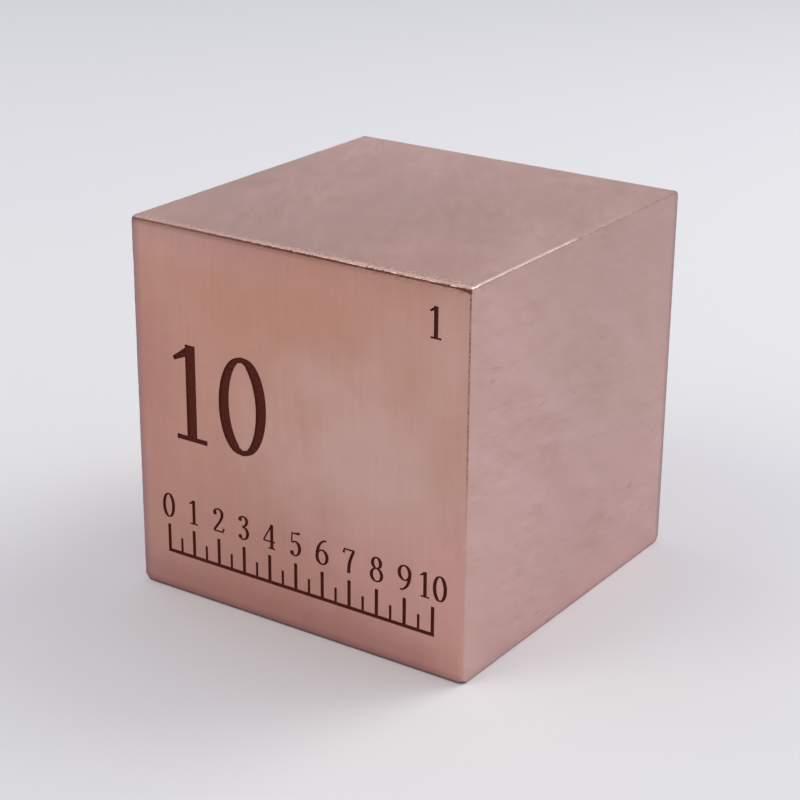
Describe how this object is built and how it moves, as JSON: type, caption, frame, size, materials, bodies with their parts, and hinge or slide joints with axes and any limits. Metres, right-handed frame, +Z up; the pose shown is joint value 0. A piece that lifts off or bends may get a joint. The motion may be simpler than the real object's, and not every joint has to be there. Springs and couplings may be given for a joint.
{
  "type": "copper cube",
  "caption": "Solid machined copper cube with eased edges and corners, flat on all sides, with a plain number scale cut into the front face.",
  "frame": {"origin": "centre of the bottom face, where the cube rests", "axes": "+Z up; -Y out of the marked front face; +X out of the face to the right of it"},
  "size_m": [0.0254, 0.0254, 0.0254],
  "materials": {
    "copper": "satin machined copper, faintly brushed and lightly tarnished"
  },
  "bodies": {
    "root": {"copper_cube": "copper"}
  },
  "joints": []
}
